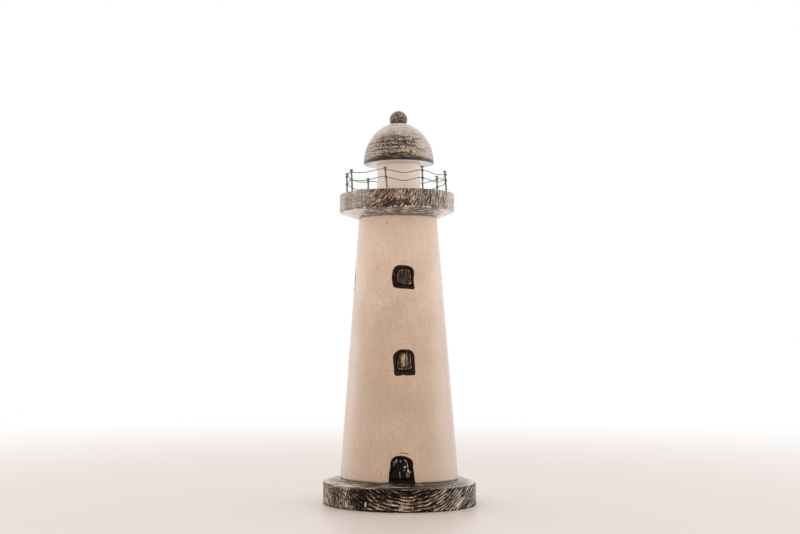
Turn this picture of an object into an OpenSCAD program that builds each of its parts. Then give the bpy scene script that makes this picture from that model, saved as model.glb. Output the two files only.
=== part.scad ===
// Turned wooden model lighthouse: a tapered tower on a round base, with a gallery
// railed by nails and wound wire, a lantern drum, a domed cap and a ball finial.
// Millimetres, +Z up, origin at the centre of the base's underside, door towards -Y.

/* [Base] */
// How far the base stands out past the tower's foot
base_margin = 13; // [10:0.1:20]
// Height of the base's upright rim
base_rim_h = 16.2; // [10:0.1:26]
// Rise of the sloping top from the rim to the tower
base_slope_h = 3; // [2:0.1:6]
// Width of the level land around the tower's foot
base_land = 3; // [1:0.1:4]
// Radius of the worn upper and lower edges of the rim
base_edge_r = 0.6; // [0.4:0.1:1.8]

/* [Tower] */
// Diameter of the tower at its foot
tower_foot_d = 89.2; // [80:0.2:104]
// Narrowing of the tower's diameter from its foot to its head
tower_taper = 29.8; // [20:0.2:36]
// Height of the tower
tower_h = 197; // [180:0.1:230]
// Bevel at the tower's foot and head that draws the joint lines
tower_joint_bevel = 0.4; // [0.2:0.05:0.8]

/* [Door] */
// Width of the door at the foot
door_foot_w = 19.6; // [17:0.1:23]
// Width of the door where its arch springs
door_spring_w = 16.8; // [15:0.1:20]
// Height of the door
door_h = 19.8; // [16:0.1:24]
// Rise of the door's arch
door_rise = 7; // [5:0.1:8.5]
// Turn of the door around the tower, in degrees from the front
door_turn = -2.4; // [-6:0.1:6]

/* [Windows] */
// Width of an upper window
upper_window_w = 16.6; // [14:0.1:18]
// Height of an upper window
upper_window_h = 17.6; // [16:0.1:22]
// Width of a lower window
lower_window_w = 15.8; // [14:0.1:18]
// Height of a lower window
lower_window_h = 18.9; // [16:0.1:22]
// Rise of a window's arch
window_rise = 6.4; // [5:0.1:7.5]
// Radius of a window's lower corners
window_corner_r = 2.2; // [1:0.1:3]
// Height of the upper windows' middle above the tower's foot
upper_window_z = 150.1; // [130:0.1:160]
// Height of the lower windows' middle above the tower's foot
lower_window_z = 87.1; // [60:0.1:110]

/* [Carving] */
// Depth of the pockets that hold the door and windows
pocket_depth = 4; // [3.5:0.1:6]
// Play between a carved panel and its pocket
pocket_play = 0.05; // [0.03:0.01:0.1]
// Width of the flush border around a carved panel
border_w = 1.9; // [1.5:0.1:2.8]
// Depth of the groove inside the border
groove_depth = 1.5; // [1.2:0.1:2.2]
// Width of the sloping sides of the raised field
field_bevel_w = 1.2; // [0.8:0.1:2.2]
// Width of the level bottom of the groove
groove_w = 0.3; // [0.2:0.05:0.8]
// Depth of the raised field's face below the tower's surface
field_sink = 0.35; // [0.2:0.05:0.8]

/* [Gallery] */
// How far the gallery stands out past the tower's head
gallery_margin = 14; // [12:0.1:20]
// Height of the gallery's upright rim
gallery_rim_h = 14; // [11:0.1:18]
// Drop of the sloping underside from the rim to the tower
gallery_slope_h = 4; // [3:0.1:8]
// Width of the level land around the tower's head
gallery_land = 2.4; // [1:0.1:4]
// Radius of the worn upper and lower edges of the rim
gallery_edge_r = 0.5; // [0.3:0.1:1.5]
// How far the gallery and its railing are set off the tower's axis, to the right
gallery_shift = -0.8; // [-1.2:0.1:1.2]

/* [Railing] */
// Distance of the nails in from the gallery's rim
nail_inset = 5.5; // [4:0.1:8]
// Diameter of a nail's shank
nail_d = 1.25; // [1:0.05:1.8]
// Height of the tallest nails above the gallery
nail_h = 17.4; // [14:0.1:22]
// Depth of a nail in the gallery
nail_bite = 9; // [6:0.1:10]
// Length of a nail's point
nail_point_h = 2; // [1.5:0.1:3]
// Diameter of a nail's head
nail_head_d = 2.7; // [2.2:0.1:3.4]
// Thickness of a nail's head at its edge
nail_head_h = 0.45; // [0.3:0.05:0.7]
// Height of the neck that flares under a nail's head
nail_neck_h = 0.5; // [0.3:0.05:0.8]
// Play of a nail in its hole
nail_play = 0.04; // [0.02:0.01:0.08]
// Diameter of the rail wire
wire_d = 0.6; // [0.4:0.05:0.8]
// Play between the wound wire and a nail
wire_play = 0.06; // [0.05:0.01:0.12]
// Height of the upper wire above the gallery
upper_wire_h = 14.6; // [13:0.1:14.7]
// Height of the lower wire above the gallery
lower_wire_h = 8.5; // [5:0.1:9.5]
// Largest sag of the wire between two nails
wire_sag = 2.5; // [0:0.1:3.5]

/* [Lantern and cap] */
// Diameter of the lantern drum
lantern_d = 33.2; // [28:0.2:40]
// Height of the lantern drum
lantern_h = 23.3; // [18:0.1:30]
// How far the domed cap stands out past the drum
dome_margin = 10.3; // [6:0.1:14]
// Height of the full curve of the domed cap
dome_h = 32.2; // [24:0.1:38]
// Radius of the cap's lower edge
dome_edge_r = 0.8; // [0.5:0.1:2.4]
// Diameter of the ball finial
finial_d = 13.8; // [11:0.1:16]
// How much narrower than the ball the flat is on which it is seated
finial_seat_in = 1.9; // [1:0.1:4]
// How far the lantern, cap and ball are set off the tower's axis, to the right
lantern_shift = 0.8; // [-1.2:0.1:1.2]

/* [Hidden] */
$fn = 96;
// How far cutters run past the face they cut
overrun = 2;

tower_foot_r = tower_foot_d / 2;
tower_head_r = (tower_foot_d - tower_taper) / 2;
base_r = tower_foot_r + base_margin;
base_h = base_rim_h + base_slope_h;
tower_slope = atan((tower_foot_r - tower_head_r) / tower_h);
gallery_r = tower_head_r + gallery_margin;
gallery_z = base_h + tower_h;
gallery_h = gallery_rim_h + gallery_slope_h;
gallery_top = gallery_z + gallery_h;
dome_z = gallery_top + lantern_h;
dome_r = lantern_d / 2 + dome_margin;
finial_r = finial_d / 2;
finial_seat_r = (finial_d - finial_seat_in) / 2;
dome_seat_turn = acos(finial_seat_r / dome_r);
dome_seat_h = dome_edge_r + (dome_h - dome_edge_r) * sin(dome_seat_turn);
finial_rise = sqrt(finial_r * finial_r - finial_seat_r * finial_seat_r);

// The nails stand as hand set: their turns in degrees from the front, their leans to the left,
// and how much deeper than the tallest each one is driven
nail_turns = [-149, -97, -66.3, -15.6, 25.3, 77, 118.5, 166];
nail_leans = [0.5, 0.5, 2, 5.5, 1.5, 4, 1.5, 1];
nail_drops = [0.2, 0.1, 0, 1, 0, 0, 0.3, 0.2];
nail_count = len(nail_turns);
rail_r = gallery_r - nail_inset;
nail_r = nail_d / 2;
wire_r = wire_d / 2;
wrap_r = nail_r + wire_r + wire_play;
// Drop of the wire over one whole turn, as a share of its thickness
wrap_pitch_share = 1.3;
// How much higher or lower than the rest the wire is wound on each nail
upper_lifts = [0, 0, 1, 0, -0.4, 0, 0, 0];
lower_lifts = [0, 0, 0.9, 0.5, 0, 1.7, 0, 0];
// Sag of each span, from each nail to the next, as shares of the largest sag
upper_sag_shares = [0.7, 0.5, 0.45, 0.9, 0.55, 0.75, 0.9, 0.6];
lower_sag_shares = [0.85, 0.6, 0.5, 1, 0.85, 0.6, 0.8, 0.9];
// Wave of each span across its length, as shares of the largest sag
upper_wave_shares = [0.1, -0.15, 0.12, -0.05, -0.2, 0.2, -0.1, 0.15];
lower_wave_shares = [-0.1, 0.2, 0.1, 0.05, -0.12, 0.1, 0.2, -0.15];
wrap_steps = 12;
span_steps = 9;
wire_sides = 8;

wood_dark = [0.20, 0.16, 0.13];
wood_cap = [0.27, 0.23, 0.19];
paint_cream = [0.87, 0.80, 0.72];
paint_black = [0.07, 0.065, 0.06];
metal_dark = [0.25, 0.28, 0.26];

// Outlines

function arc(centre, radius, from, to, steps) =
    [for (k = [0:steps]) let (a = from + (to - from) * k / steps)
        centre + radius * [cos(a), sin(a)]];

// Middle of the rounding between an upright rim and a slope of the given angle
function rim_drop(edge_r, slope) = edge_r * (1 - sin(slope)) / cos(slope);

// The lower corners of an outline, rounded where a radius is given
function lower_corners(foot_w, h, drop, corner_r) = corner_r == 0
    ? [[-foot_w / 2, -h / 2 - drop], [foot_w / 2, -h / 2 - drop]]
    : concat(arc([corner_r - foot_w / 2, corner_r - h / 2], corner_r, 180, 270, 4),
        arc([foot_w / 2 - corner_r, corner_r - h / 2], corner_r, 270, 360, 4));

// An arched outline about its own middle, with full shoulders
function arched(foot_w, spring_w, h, rise, drop, corner_r = 0) = concat(
    lower_corners(foot_w, h, drop, corner_r),
    [for (k = [0:16]) let (a = 180 * k / 16)
        [sign(cos(a)) * pow(abs(cos(a)), 0.8) * spring_w / 2,
         h / 2 - rise + rise * pow(sin(a), 0.8)]]);

// The same outline taken in all round
function taken_in(foot_w, spring_w, h, rise, corner_r, by) =
    arched(foot_w - 2 * by, spring_w - 2 * by, h - 2 * by, rise * (h - 2 * by) / h, 0,
        corner_r * (h - 2 * by) / h);

// Base and tower

module base_disc() {
    seat_r = tower_foot_r + base_land;
    slope = atan(base_slope_h / (base_r - seat_r));
    drop = rim_drop(base_edge_r, slope);
    color(wood_dark)
        rotate_extrude()
            polygon(concat([[0, 0]],
                arc([base_r - base_edge_r, base_edge_r], base_edge_r, -90, 0, 6),
                arc([base_r - base_edge_r, base_rim_h - drop], base_edge_r, 0, 90 - slope, 6),
                [[seat_r, base_h], [0, base_h]]));
}

module tower_cone() {
    bevel = tower_joint_bevel;
    translate([0, 0, base_h])
        rotate_extrude()
            polygon([[0, 0], [tower_foot_r - bevel, 0],
                [tower_foot_r - bevel * tan(tower_slope), bevel],
                [tower_head_r + bevel * tan(tower_slope), tower_h - bevel],
                [tower_head_r - bevel, tower_h], [0, tower_h]]);
}

function tower_r_at(z) = tower_foot_r - z * tan(tower_slope);

// Sets a shape drawn flat on the tower's surface, facing out square to the slope
module on_tower(z, turn, twist) {
    translate([0, 0, base_h + z])
        rotate([0, 0, turn])
            translate([0, -tower_r_at(z), 0])
                rotate([90 - tower_slope, 0, 0])
                    rotate([0, 0, twist])
                        children();
}

module panel_cutter(foot_w, spring_w, h, rise, drop, corner_r = 0) {
    play = 2 * pocket_play;
    translate([0, 0, -pocket_depth])
        linear_extrude(pocket_depth + overrun)
            polygon(arched(foot_w + play, spring_w + play, h + play, rise, drop, corner_r));
}

// A solid between two outlines of as many points, the second one above the first
module frustum(lower, upper, h) {
    n = len(lower);
    polyhedron(
        points = concat([for (p = lower) [p[0], p[1], 0]], [for (p = upper) [p[0], p[1], h]]),
        faces = concat([[for (k = [0:n - 1]) k]], [[for (k = [1:n]) 2 * n - k]],
            [for (k = [0:n - 1]) let (j = (k + 1) % n) each [[k, n + k, n + j], [k, n + j, j]]]));
}

// A panel with a flush border, a groove inside it and a raised field with sloping sides
module carved_panel(foot_w, spring_w, h, rise, drop, corner_r = 0) {
    field_in = border_w + groove_w;
    difference() {
        translate([0, 0, -pocket_depth])
            linear_extrude(pocket_depth + overrun)
                polygon(arched(foot_w, spring_w, h, rise, drop, corner_r));
        difference() {
            translate([0, 0, -groove_depth])
                linear_extrude(groove_depth + 2 * overrun)
                    polygon(taken_in(foot_w, spring_w, h, rise, corner_r, border_w));
            translate([0, 0, -groove_depth])
                frustum(taken_in(foot_w, spring_w, h, rise, corner_r, field_in),
                    taken_in(foot_w, spring_w, h, rise, corner_r, field_in + field_bevel_w),
                    groove_depth - field_sink);
        }
    }
}

// The eight windows: which storey, the turn around the tower and the twist of each, in degrees
window_places = [
    ["upper", 1.5, -2], ["lower", 1.2, 2],
    ["upper", -96, 2], ["lower", -104, -1],
    ["upper", 97, -1], ["lower", 98, 2],
    ["upper", 181, 1], ["lower", 179, -2]];

function is_upper(n) = window_places[n][0] == "upper";
function window_z(n) = is_upper(n) ? upper_window_z : lower_window_z;
function window_w(n) = is_upper(n) ? upper_window_w : lower_window_w;
function window_h(n) = is_upper(n) ? upper_window_h : lower_window_h;

module window_cutter(n) {
    on_tower(window_z(n), window_places[n][1], window_places[n][2])
        panel_cutter(window_w(n), window_w(n), window_h(n), window_rise, 0, window_corner_r);
}

module window_panel(n) {
    color(paint_black)
        intersection() {
            on_tower(window_z(n), window_places[n][1], window_places[n][2])
                carved_panel(window_w(n), window_w(n), window_h(n), window_rise, 0, window_corner_r);
            tower_cone();
        }
}

module tower_body() {
    color(paint_cream)
        difference() {
            tower_cone();
            on_tower(door_h / 2, door_turn, 0)
                panel_cutter(door_foot_w, door_spring_w, door_h, door_rise, overrun);
            for (n = [0:len(window_places) - 1]) window_cutter(n);
        }
}

module door_panel() {
    color(paint_black)
        intersection() {
            on_tower(door_h / 2, door_turn, 0)
                carved_panel(door_foot_w, door_spring_w, door_h, door_rise, overrun);
            tower_cone();
        }
}

module front_upper_window() { window_panel(0); }
module front_lower_window() { window_panel(1); }
module left_upper_window() { window_panel(2); }
module left_lower_window() { window_panel(3); }
module right_upper_window() { window_panel(4); }
module right_lower_window() { window_panel(5); }
module back_upper_window() { window_panel(6); }
module back_lower_window() { window_panel(7); }

// Gallery and railing

module at_nail(i) {
    translate([gallery_shift, 0, gallery_top])
        rotate([0, 0, nail_turns[i]])
            translate([0, -rail_r, 0])
                rotate([0, 0, -nail_turns[i]])
                    rotate([0, -nail_leans[i], 0])
                        children();
}

module gallery_disc() {
    seat_r = tower_head_r + gallery_land;
    slope = atan(gallery_slope_h / (gallery_r - seat_r));
    drop = rim_drop(gallery_edge_r, slope);
    middle_r = gallery_r - gallery_edge_r;
    color(wood_dark)
        difference() {
            translate([gallery_shift, 0, gallery_z])
                rotate_extrude()
                    polygon(concat([[0, 0], [seat_r, 0]],
                        arc([middle_r, gallery_slope_h + drop], gallery_edge_r, slope - 90, 0, 6),
                        arc([middle_r, gallery_h - gallery_edge_r], gallery_edge_r, 0, 90, 6),
                        [[0, gallery_h]]));
            for (i = [0:nail_count - 1])
                at_nail(i)
                    translate([0, 0, -nail_bite - nail_drops[i] - nail_play])
                        cylinder(h = nail_bite + nail_drops[i] + overrun, r = nail_r + nail_play);
        }
}

module rail_nail(i) {
    head_r = nail_head_d / 2;
    neck_z = nail_h - nail_head_h - nail_neck_h;
    color(metal_dark)
        at_nail(i)
            translate([0, 0, -nail_drops[i]])
                rotate_extrude()
                    polygon([[0, -nail_bite], [nail_r, nail_point_h - nail_bite], [nail_r, neck_z],
                        [head_r, nail_h - nail_head_h], [head_r, nail_h - nail_head_h / 3],
                        [head_r - nail_head_h / 3, nail_h], [0, nail_h]]);
}

module rail_nail_1() { rail_nail(0); }
module rail_nail_2() { rail_nail(1); }
module rail_nail_3() { rail_nail(2); }
module rail_nail_4() { rail_nail(3); }
module rail_nail_5() { rail_nail(4); }
module rail_nail_6() { rail_nail(5); }
module rail_nail_7() { rail_nail(6); }
module rail_nail_8() { rail_nail(7); }

// A point on the middle line of a nail
function nail_at(i, h) =
    [gallery_shift + rail_r * sin(nail_turns[i]), -rail_r * cos(nail_turns[i]), gallery_top]
    + h * [-sin(nail_leans[i]), 0, cos(nail_leans[i])];

function after(i) = (i + 1) % nail_count;
function before(i) = (i + nail_count - 1) % nail_count;

// Heading of the wire from one nail to the next
function heading(i, h) = let (d = nail_at(after(i), h) - nail_at(i, h)) atan2(d[1], d[0]);

function turned(a) = a < 0 ? a + 360 : a;

// The turn of wire around one nail, once round and on towards the next, winding down the shank
function wrap(i, h) =
    let (start = heading(before(i), h) - 90,
        sweep = 360 + turned(heading(i, h) - heading(before(i), h)),
        fall = wire_d * wrap_pitch_share * sweep / 360)
    [for (k = [0:wrap_steps]) let (share = k / wrap_steps, a = start + sweep * share)
        nail_at(i, h + fall * (1 / 2 - share))
        + wrap_r * [cos(a) * cos(nail_leans[i]), sin(a), cos(a) * sin(nail_leans[i])]];

// The span from the end of one turn of wire to the start of the next
function span(from, to, sag, wave) =
    [for (k = [1:span_steps - 1]) let (share = k / span_steps)
        from + (to - from) * share
        - [0, 0, sag * (1 - cos(360 * share)) / 2 + wave * sin(360 * share)]];

function wire_route(h, lifts, sags, waves) =
    [for (i = [0:nail_count - 1]) let (
            turn = wrap(i, h + lifts[i]), next = wrap(after(i), h + lifts[after(i)]),
            reach = span(turn[wrap_steps], next[0], wire_sag * sags[i], wire_sag * waves[i]))
        each concat(turn, reach)];

function unit(v) = v / norm(v);

// A round wire swept along a closed route that nowhere stands upright
module wire_loop(route) {
    n = len(route);
    s = wire_sides;
    rings = [for (k = [0:n - 1]) let (
            ahead = unit(route[(k + 1) % n] - route[(k + n - 1) % n]),
            side = unit(cross(ahead, [0, 0, 1])),
            up = cross(side, ahead))
        each [for (j = [0:s - 1]) let (a = 360 * j / s)
            route[k] + wire_r * (cos(a) * side + sin(a) * up)]];
    faces = [for (k = [0:n - 1], j = [0:s - 1]) let (
            here = k * s, there = ((k + 1) % n) * s, next = (j + 1) % s)
        each [[here + j, here + next, there + next], [here + j, there + next, there + j]]];
    polyhedron(points = rings, faces = faces, convexity = 10);
}

module upper_rail_wire() {
    color(metal_dark)
        wire_loop(wire_route(upper_wire_h, upper_lifts, upper_sag_shares, upper_wave_shares));
}

module lower_rail_wire() {
    color(metal_dark)
        wire_loop(wire_route(lower_wire_h, lower_lifts, lower_sag_shares, lower_wave_shares));
}

// Lantern, cap and finial

module lantern_drum() {
    color(paint_cream)
        translate([lantern_shift, 0, gallery_top])
            cylinder(h = lantern_h, d = lantern_d);
}

module dome_cap() {
    curve_h = dome_h - dome_edge_r;
    color(wood_cap)
        translate([lantern_shift, 0, dome_z])
            rotate_extrude()
                polygon(concat([[0, 0]],
                    arc([dome_r - dome_edge_r, dome_edge_r], dome_edge_r, -90, -15, 5),
                    [for (k = [0:28]) let (a = dome_seat_turn * k / 28)
                        [dome_r * cos(a), dome_edge_r + curve_h * sin(a)]],
                    [[0, dome_seat_h]]));
}

module finial_ball() {
    color(wood_dark)
        translate([lantern_shift, 0, dome_z + dome_seat_h])
            difference() {
                translate([0, 0, finial_rise]) sphere(d = finial_d);
                translate([-finial_d, -finial_d, -2 * finial_d])
                    cube([2 * finial_d, 2 * finial_d, 2 * finial_d]);
            }
}

base_disc();
tower_body();
door_panel();
front_upper_window();
front_lower_window();
left_upper_window();
left_lower_window();
right_upper_window();
right_lower_window();
back_upper_window();
back_lower_window();
gallery_disc();
rail_nail_1();
rail_nail_2();
rail_nail_3();
rail_nail_4();
rail_nail_5();
rail_nail_6();
rail_nail_7();
rail_nail_8();
upper_rail_wire();
lower_rail_wire();
lantern_drum();
dome_cap();
finial_ball();
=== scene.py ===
"""The looks of a turned wooden model lighthouse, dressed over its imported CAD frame.

Each turned piece is a fine lathe mesh with worn edges, and each carved panel a hand-cut relief
in a pocket of the tower. Lengths are in metres in the frame of the CAD model: +Z up, door at -Y.
"""

import math
from collections import namedtuple

import bpy
import numpy as np
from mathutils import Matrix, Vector, noise


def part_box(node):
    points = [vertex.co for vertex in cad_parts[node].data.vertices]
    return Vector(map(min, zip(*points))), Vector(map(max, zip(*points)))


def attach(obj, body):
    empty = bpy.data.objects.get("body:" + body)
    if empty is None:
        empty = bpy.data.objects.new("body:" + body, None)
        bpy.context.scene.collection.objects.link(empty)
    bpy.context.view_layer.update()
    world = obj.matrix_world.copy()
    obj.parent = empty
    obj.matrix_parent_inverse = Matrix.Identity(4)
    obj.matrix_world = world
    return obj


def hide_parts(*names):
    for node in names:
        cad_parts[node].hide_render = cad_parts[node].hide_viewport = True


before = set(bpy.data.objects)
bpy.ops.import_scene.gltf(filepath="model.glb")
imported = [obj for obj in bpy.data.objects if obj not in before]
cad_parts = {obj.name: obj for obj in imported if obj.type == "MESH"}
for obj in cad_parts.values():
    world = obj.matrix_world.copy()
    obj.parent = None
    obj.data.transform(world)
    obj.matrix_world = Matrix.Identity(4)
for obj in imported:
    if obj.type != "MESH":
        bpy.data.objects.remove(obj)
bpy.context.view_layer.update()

MM = 0.001
BODY = "root"

# Sizes that the frame gives


def half_width(node):
    low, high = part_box(node)
    return (high[0] - low[0]) / 2


def middle_x(node):
    low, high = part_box(node)
    return (high[0] + low[0]) / 2


BASE_R = half_width("base_disc")
BASE_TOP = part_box("base_disc")[1][2]
TOWER_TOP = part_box("tower_body")[1][2]
GALLERY_R = half_width("gallery_disc")
GALLERY_X = middle_x("gallery_disc")
GALLERY_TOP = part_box("gallery_disc")[1][2]
LANTERN_R = half_width("lantern_drum")
LANTERN_X = middle_x("lantern_drum")
DOME_BOTTOM, DOME_TOP = (corner[2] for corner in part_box("dome_cap"))
DOME_R = half_width("dome_cap")
FINIAL_BOTTOM, FINIAL_TOP = (corner[2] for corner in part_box("finial_ball"))
FINIAL_R = half_width("finial_ball")

# Sizes inside the nodes, as the CAD source has them
BASE_RIM_H = 16.2 * MM
BASE_EDGE = 0.6 * MM
LAND_R = 47.6 * MM
TOWER_FOOT_R = 44.6 * MM
TOWER_HEAD_R = 29.7 * MM
JOINT_BEVEL = 0.4 * MM
GALLERY_SLOPE_H = 4 * MM
GALLERY_SEAT_R = 32.1 * MM
GALLERY_EDGE = 0.5 * MM
DOME_EDGE = 0.8 * MM
FINIAL_SEAT_R = FINIAL_R - 0.95 * MM
POCKET_DEPTH = 3.9 * MM
BORDER_W = 1.9 * MM
GROOVE_W = 0.3 * MM
GROOVE_DEPTH = 1.5 * MM
FIELD_BEVEL_W = 1.2 * MM
FIELD_SINK = 0.35 * MM

# Gaps between the growth rings, and the cap's knot as (across, up from its rim), in mm
BASE_RING_GAP = 2.6
GALLERY_RING_GAP = 2.1
DOME_RING_GAP = 2.2
KNOT = (8.5, 7.0)

# Camera, as fitted to the rims in the photograph, whose lens axis is left of the object
PHOTO_W = 800
FOCAL_PX = 1243
AXIS_COLUMN = 398.3
LENS_COLUMN = 308
CAMERA_AWAY = 0.952
CAMERA_UP = 0.1178
CAMERA_TILT = math.radians(3.67)
CAMERA_TURN = math.radians(-5.1)
SENSOR_W = 36


def make_camera():
    data = bpy.data.cameras.new("photo_camera")
    data.sensor_fit = "HORIZONTAL"
    data.sensor_width = SENSOR_W
    data.lens = SENSOR_W * FOCAL_PX / PHOTO_W
    data.shift_x = 0.5 - LENS_COLUMN / PHOTO_W
    data.clip_start = 10 * MM
    camera = bpy.data.objects.new("photo_camera", data)
    aside = math.atan((AXIS_COLUMN - LENS_COLUMN) / FOCAL_PX)
    camera.location = (CAMERA_AWAY * math.sin(CAMERA_TURN), -CAMERA_AWAY * math.cos(CAMERA_TURN),
                       CAMERA_UP)
    camera.rotation_euler = (math.pi / 2 + CAMERA_TILT, 0, CAMERA_TURN + aside)
    bpy.context.collection.objects.link(camera)
    bpy.context.scene.camera = camera


# Mesh helpers

def wander(points, size, seed):
    """Smooth noise from -1 to 1 at each point, with features about as large as size."""
    shift = Vector((17.3 * seed, 5.1 * seed, 9.7 * seed))
    return np.array([noise.noise(Vector(p) / size + shift) for p in points])


def shade_smooth(mesh, sharp_deg):
    """Shades a mesh smoothly, apart from edges sharper than the angle."""
    mesh.polygons.foreach_set("use_smooth", [True] * len(mesh.polygons))
    mesh.set_sharp_from_angle(angle=math.radians(sharp_deg))


def mesh_object(name, points, faces, marks=None, sharp_deg=40):
    """A smooth-shaded mesh, with any marks kept as a number on each point."""
    mesh = bpy.data.meshes.new(name)
    mesh.from_pydata(points.tolist(), [], faces)
    for mark, values in (marks or {}).items():
        kept = mesh.attributes.new(mark, "FLOAT", "POINT")
        kept.data.foreach_set("value", np.asarray(values, dtype=np.float32))
    shade_smooth(mesh, sharp_deg)
    made = bpy.data.objects.new(name, mesh)
    bpy.context.collection.objects.link(made)
    return made


def dress(piece, nodes, slot, *materials):
    """Gives a piece its materials and lets it stand for CAD nodes."""
    for material in materials:
        piece.data.materials.append(material)
    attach(piece, BODY)
    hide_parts(*nodes)


def arc(middle_r, middle_z, radius, start_deg, end_deg, steps):
    """Profile points on an arc about (middle_r, middle_z)."""
    turns = np.radians(np.linspace(start_deg, end_deg, steps + 1))
    return [(middle_r + radius * math.cos(t), middle_z + radius * math.sin(t)) for t in turns]


def resample(profile, step):
    """The profile with points added so that no stretch is longer than step."""
    points = [profile[0]]
    for (r0, z0), (r1, z1) in zip(profile, profile[1:]):
        count = max(1, math.ceil(math.hypot(r1 - r0, z1 - z0) / step))
        points += [(r0 + (r1 - r0) * k / count, z0 + (z1 - z0) * k / count) for k in range(1, count + 1)]
    return np.array(points)


def lathe(name, profile, step, segments, shape, middle=0.0):
    """Turns a profile, from the axis below to the axis above, and sets it at its middle along X.

    The shape says for all points how far each moves out, and which marks it keeps.
    """
    line = resample(profile, step)
    along = np.gradient(line, axis=0)
    along /= np.linalg.norm(along, axis=1)[:, None]
    turn = np.linspace(0, 2 * math.pi, segments, endpoint=False)

    def turned(r, z):
        level = np.repeat(z[:, None], segments, axis=1)
        ways = [np.outer(r, np.sin(turn)), np.outer(r, -np.cos(turn)), level]
        return np.stack(ways, axis=-1).reshape(-1, 3)

    points = turned(line[1:-1, 0], line[1:-1, 1])
    out = turned(along[1:-1, 1], -along[1:-1, 0])
    moved, marks = shape(points)
    points = points + out * moved[:, None]
    points = np.vstack([points, [[0, 0, line[0, 1]], [0, 0, line[-1, 1]]]])
    points[:, 0] += middle
    marks = {mark: np.append(values, [values[0], values[-1]]) for mark, values in marks.items()}
    low, high = len(points) - 2, len(points) - 1
    last = low - segments
    faces = []
    for i in range(segments):
        j = (i + 1) % segments
        faces += [(low, j, i), (high, last + i, last + j)]
        faces += [(k + i, k + j, k + segments + j, k + segments + i) for k in range(0, last, segments)]
    return mesh_object(name, points, faces, marks)


def growth(points, pith_x, pith_z, seed):
    """Where each point lies in the wood: its distance from the pith and its way round it, in mm."""
    x = points[:, 0] - pith_x
    z = points[:, 2] - pith_z
    bend = 1.6 * MM * wander(points, 30 * MM, seed) + 0.5 * MM * wander(points, 8 * MM, seed + 1)
    ring = np.hypot(x, z) + bend
    return {"ring": ring / MM, "sweep": np.arctan2(x, -z) * ring / MM}


def wear(points, edges, seed):
    """How worn each point is around edges given as (r, z, reach): uneven, with small chips."""
    r = np.hypot(points[:, 0], points[:, 1])
    uneven = 0.4 + 0.3 * wander(points, 12 * MM, seed)
    chips = np.clip(wander(points, 1.7 * MM, seed + 1) - 0.1, 0, 1)
    amount = np.zeros(len(points))
    for edge_r, edge_z, reach in edges:
        near = np.exp(-((r - edge_r) ** 2 + (points[:, 2] - edge_z) ** 2) / reach ** 2)
        amount += near * np.clip(uneven + 3.0 * chips, 0, 1.8)
    return amount


def ring_ridges(ring, gap, height, sink):
    """Shallow ridges along the growth rings, all sunk below the turned surface."""
    return height * np.sin(2 * math.pi * ring / gap) - sink


# Shader helpers

def srgb(red, green, blue):
    """A colour written as it looks on screen, from 0 to 255."""
    def linear(c):
        c /= 255
        return c / 12.92 if c <= 0.04045 else ((c + 0.055) / 1.055) ** 2.4
    return (linear(red), linear(green), linear(blue), 1.0)


class Nodes:
    """Adds nodes to an emptied tree. Inputs are sockets or plain values."""

    def __init__(self, tree):
        self.tree = tree
        tree.nodes.clear()

    def node(self, kind, inputs=None, **settings):
        made = self.tree.nodes.new(kind)
        for key, value in settings.items():
            setattr(made, key, value)
        for key, value in (inputs or {}).items():
            self.feed(made.inputs[key], value)
        return made

    def feed(self, socket, value):
        if isinstance(value, bpy.types.NodeSocket):
            self.tree.links.new(value, socket)
        else:
            socket.default_value = value

    def calc(self, operation, a, b=0.0):
        return self.node("ShaderNodeMath", {0: a, 1: b}, operation=operation).outputs["Value"]

    def total(self, start, *terms):
        """Start plus each term's value times its weight."""
        for value, weight in terms:
            made = self.node("ShaderNodeMath", {0: value, 1: weight, 2: start}, operation="MULTIPLY_ADD")
            start = made.outputs["Value"]
        return start

    def product(self, first, *others):
        for value in others:
            first = self.calc("MULTIPLY", first, value)
        return first

    def most(self, first, *others):
        """The largest of the values."""
        for value in others:
            first = self.calc("MAXIMUM", first, value)
        return first

    def length(self, a, b):
        """The length of a way whose two parts are a and b."""
        return self.calc("SQRT", self.total(0.0, (a, a), (b, b)))

    def fade(self, value, low, high, start=0.0, end=1.0, way="SMOOTHSTEP"):
        """From start to end as the value goes from low to high."""
        return self.node("ShaderNodeMapRange", {"Value": value, "From Min": low, "From Max": high,
                                                "To Min": start, "To Max": end},
                         interpolation_type=way).outputs["Result"]

    def noise(self, vector, scale=1.0, detail=2.0, roughness=0.55):
        return self.node("ShaderNodeTexNoise", {"Vector": vector, "Scale": scale, "Detail": detail,
                                                "Roughness": roughness}).outputs["Fac"]

    def between(self, share, a, b):
        """A number between a and b."""
        return self.node("ShaderNodeMix", {0: share, 2: a, 3: b}).outputs[0]

    def blend(self, share, a, b):
        """A colour between a and b."""
        return self.node("ShaderNodeMix", {0: share, 6: a, 7: b}, data_type="RGBA").outputs[2]

    def ramp(self, value, *stops):
        """A colour from stops given as (position, red, green, blue)."""
        made = self.node("ShaderNodeValToRGB", {"Fac": value})
        points = made.color_ramp.elements
        while len(points) < len(stops):
            points.new(1.0)
        for point, (position, *colour) in zip(points, stops):
            point.position = position
            point.color = srgb(*colour)
        return made.outputs["Color"]

    def mixed(self, share, a, b):
        """A shader between a and b."""
        return self.node("ShaderNodeMixShader", {0: share, 1: a, 2: b}).outputs["Shader"]

    def seen_rays(self):
        """1 for camera, glossy and transmission rays, and 0 for others."""
        rays = self.node("ShaderNodeLightPath").outputs
        return self.most(rays["Is Camera Ray"], rays["Is Glossy Ray"], rays["Is Transmission Ray"])


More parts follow.
